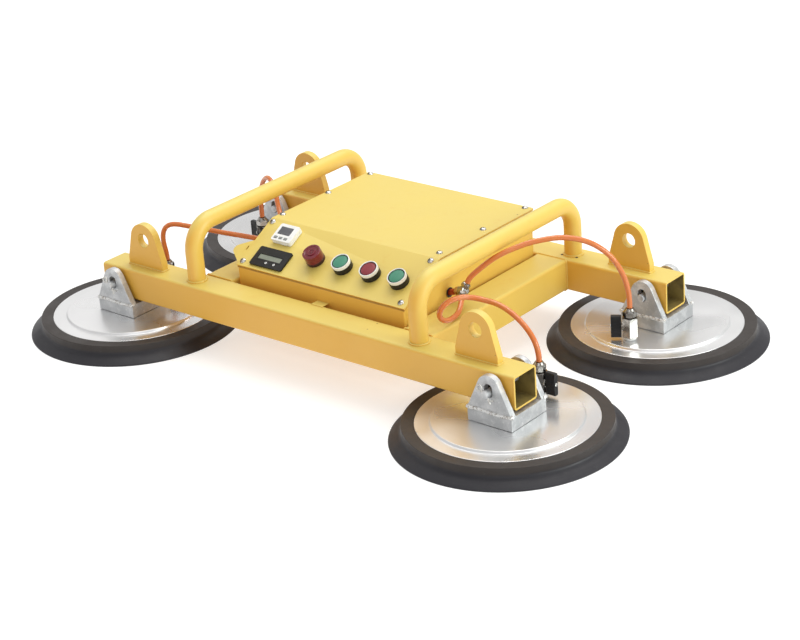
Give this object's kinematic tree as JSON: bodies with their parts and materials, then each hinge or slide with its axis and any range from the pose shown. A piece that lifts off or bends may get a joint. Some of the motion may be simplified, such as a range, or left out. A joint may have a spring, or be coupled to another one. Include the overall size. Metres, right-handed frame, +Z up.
{
  "type": "battery vacuum lifter",
  "caption": "Battery vacuum lifter: round rubber suction pads pinned to a yellow tube frame with a control box, carrying handles, lifting lugs and orange hoses.",
  "frame": {"origin": "centre of the object's box, on the plane the pads' lips stand on", "axes": "+X along the two beams to the right as the operator sees them, +Y from the operator's side to the back, +Z up"},
  "size_m": [1.058, 0.7, 0.2035],
  "materials": {
    "yellow_paint": "semi-gloss amber-yellow powder coat with fine orange peel",
    "black_rubber": "moulded matte rubber",
    "machined_aluminium": "turned face with fine concentric marks",
    "zinc_steel": "zinc spray over a welded and ground block",
    "nickel": "satin nickel plate",
    "black_plastic": "moulded, fine grain",
    "white_plastic": "smooth moulded",
    "grey_key": "soft key",
    "green_plastic": "smooth moulded button",
    "red_plastic": "smooth moulded button",
    "dark_red_plastic": "translucent lens over a sounder",
    "orange_hose": "glossy, slightly translucent polyurethane tube",
    "battery_case": "moulded case",
    "motor_steel": "rolled steel can",
    "cast_aluminium": "as cast",
    "circuit_board": "green solder mask"
  },
  "bodies": {
    "frame": {"front_beam": "yellow_paint", "rear_beam": "yellow_paint", "left_side_member": "yellow_paint", "right_side_member": "yellow_paint", "lifting_lug_front_left": "yellow_paint", "lifting_lug_front_right": "yellow_paint", "lifting_lug_rear_left": "yellow_paint", "lifting_lug_rear_right": "yellow_paint", "left_handle": "yellow_paint", "right_handle": "yellow_paint", "box_housing": "yellow_paint", "box_cover": "yellow_paint", "hour_meter": "black_plastic", "vacuum_gauge": "white_plastic", "warning_buzzer": "dark_red_plastic", "green_button_left_bezel": "white_plastic", "red_button_bezel": "white_plastic", "green_button_right_bezel": "white_plastic", "battery": "battery_case", "pump_motor": "motor_steel", "pump_head": "cast_aluminium", "solenoid_valve": "black_plastic", "vacuum_filter": "black_plastic", "control_board": "circuit_board", "hose_tee_left": "nickel", "hose_tee_right": "nickel", "hose_front_left": "orange_hose", "hose_front_right": "orange_hose", "hose_rear_left": "orange_hose", "hose_rear_right": "orange_hose"},
    "pin_front_left": {"pivot_pin_front_left": "zinc_steel"},
    "pad_front_left": {"pad_plate_front_left": "machined_aluminium", "pad_seal_front_left": "black_rubber", "pad_bracket_front_left": "zinc_steel", "valve_body_front_left": "nickel"},
    "lever_front_left": {"valve_lever_front_left": "black_plastic"},
    "pin_front_right": {"pivot_pin_front_right": "zinc_steel"},
    "pad_front_right": {"pad_plate_front_right": "machined_aluminium", "pad_seal_front_right": "black_rubber", "pad_bracket_front_right": "zinc_steel", "valve_body_front_right": "nickel"},
    "lever_front_right": {"valve_lever_front_right": "black_plastic"},
    "pin_rear_left": {"pivot_pin_rear_left": "zinc_steel"},
    "pad_rear_left": {"pad_plate_rear_left": "machined_aluminium", "pad_seal_rear_left": "black_rubber", "pad_bracket_rear_left": "zinc_steel", "valve_body_rear_left": "nickel"},
    "lever_rear_left": {"valve_lever_rear_left": "black_plastic"},
    "pin_rear_right": {"pivot_pin_rear_right": "zinc_steel"},
    "pad_rear_right": {"pad_plate_rear_right": "machined_aluminium", "pad_seal_rear_right": "black_rubber", "pad_bracket_rear_right": "zinc_steel", "valve_body_rear_right": "nickel"},
    "lever_rear_right": {"valve_lever_rear_right": "black_plastic"},
    "green_button_left": {"green_button_left_cap": "green_plastic"},
    "red_button": {"red_button_cap": "red_plastic"},
    "green_button_right": {"green_button_right_cap": "green_plastic"},
    "key_left": {"gauge_key_left": "grey_key"},
    "key_middle": {"gauge_key_middle": "grey_key"},
    "key_right": {"gauge_key_right": "grey_key"}
  },
  "joints": [
    {"name": "tilt_front_left", "type": "hinge", "parent": "frame", "child": "pin_front_left", "pos_m": [-0.364, -0.185, 0.079], "axis": [0, 1, 0], "range_deg": [-4, 4], "deforming": ["hose_front_left"]},
    {"name": "float_front_left", "type": "slide", "parent": "pin_front_left", "child": "pad_front_left", "axis": [0, 0, -1], "range_m": [0, 0.006], "deforming": ["hose_front_left"]},
    {"name": "shut_off_front_left", "type": "hinge", "parent": "pad_front_left", "child": "lever_front_left", "pos_m": [-0.3625, -0.1075, 0.05], "axis": [1, 0, 0], "range_deg": [0, 90]},
    {"name": "tilt_front_right", "type": "hinge", "parent": "frame", "child": "pin_front_right", "pos_m": [0.364, -0.185, 0.079], "axis": [0, 1, 0], "range_deg": [-4, 4], "deforming": ["hose_front_right"]},
    {"name": "float_front_right", "type": "slide", "parent": "pin_front_right", "child": "pad_front_right", "axis": [0, 0, -1], "range_m": [0, 0.006], "deforming": ["hose_front_right"]},
    {"name": "shut_off_front_right", "type": "hinge", "parent": "pad_front_right", "child": "lever_front_right", "pos_m": [0.363, -0.1075, 0.05], "axis": [1, 0, 0], "range_deg": [0, 90]},
    {"name": "tilt_rear_left", "type": "hinge", "parent": "frame", "child": "pin_rear_left", "pos_m": [-0.364, 0.185, 0.079], "axis": [0, 1, 0], "range_deg": [-4, 4], "deforming": ["hose_rear_left"]},
    {"name": "float_rear_left", "type": "slide", "parent": "pin_rear_left", "child": "pad_rear_left", "axis": [0, 0, -1], "range_m": [0, 0.006], "deforming": ["hose_rear_left"]},
    {"name": "shut_off_rear_left", "type": "hinge", "parent": "pad_rear_left", "child": "lever_rear_left", "pos_m": [-0.357, 0.1075, 0.05], "axis": [-0.9903, 0.1392, 0], "range_deg": [0, 90]},
    {"name": "tilt_rear_right", "type": "hinge", "parent": "frame", "child": "pin_rear_right", "pos_m": [0.364, 0.185, 0.079], "axis": [0, 1, 0], "range_deg": [-4, 4], "deforming": ["hose_rear_right"]},
    {"name": "float_rear_right", "type": "slide", "parent": "pin_rear_right", "child": "pad_rear_right", "axis": [0, 0, -1], "range_m": [0, 0.006], "deforming": ["hose_rear_right"]},
    {"name": "shut_off_rear_right", "type": "hinge", "parent": "pad_rear_right", "child": "lever_rear_right", "pos_m": [0.3685, 0.1075, 0.05], "axis": [-0.848, -0.5299, 0], "range_deg": [0, 90]},
    {"name": "press_green_button_left", "type": "slide", "parent": "frame", "child": "green_button_left", "axis": [0, 0.4749, -0.88], "range_m": [0, 0.004], "stiffness_N_per_m": 500, "springref_m": -0.004},
    {"name": "press_red_button", "type": "slide", "parent": "frame", "child": "red_button", "axis": [0, 0.4749, -0.88], "range_m": [0, 0.004], "stiffness_N_per_m": 500, "springref_m": -0.004},
    {"name": "press_green_button_right", "type": "slide", "parent": "frame", "child": "green_button_right", "axis": [0, 0.4749, -0.88], "range_m": [0, 0.004], "stiffness_N_per_m": 500, "springref_m": -0.004},
    {"name": "press_key_left", "type": "slide", "parent": "frame", "child": "key_left", "axis": [0, 0.4749, -0.88], "range_m": [0, 0.0005], "stiffness_N_per_m": 800, "springref_m": -0.0006},
    {"name": "press_key_middle", "type": "slide", "parent": "frame", "child": "key_middle", "axis": [0, 0.4749, -0.88], "range_m": [0, 0.0005], "stiffness_N_per_m": 800, "springref_m": -0.0006},
    {"name": "press_key_right", "type": "slide", "parent": "frame", "child": "key_right", "axis": [0, 0.4749, -0.88], "range_m": [0, 0.0005], "stiffness_N_per_m": 800, "springref_m": -0.0006}
  ]
}
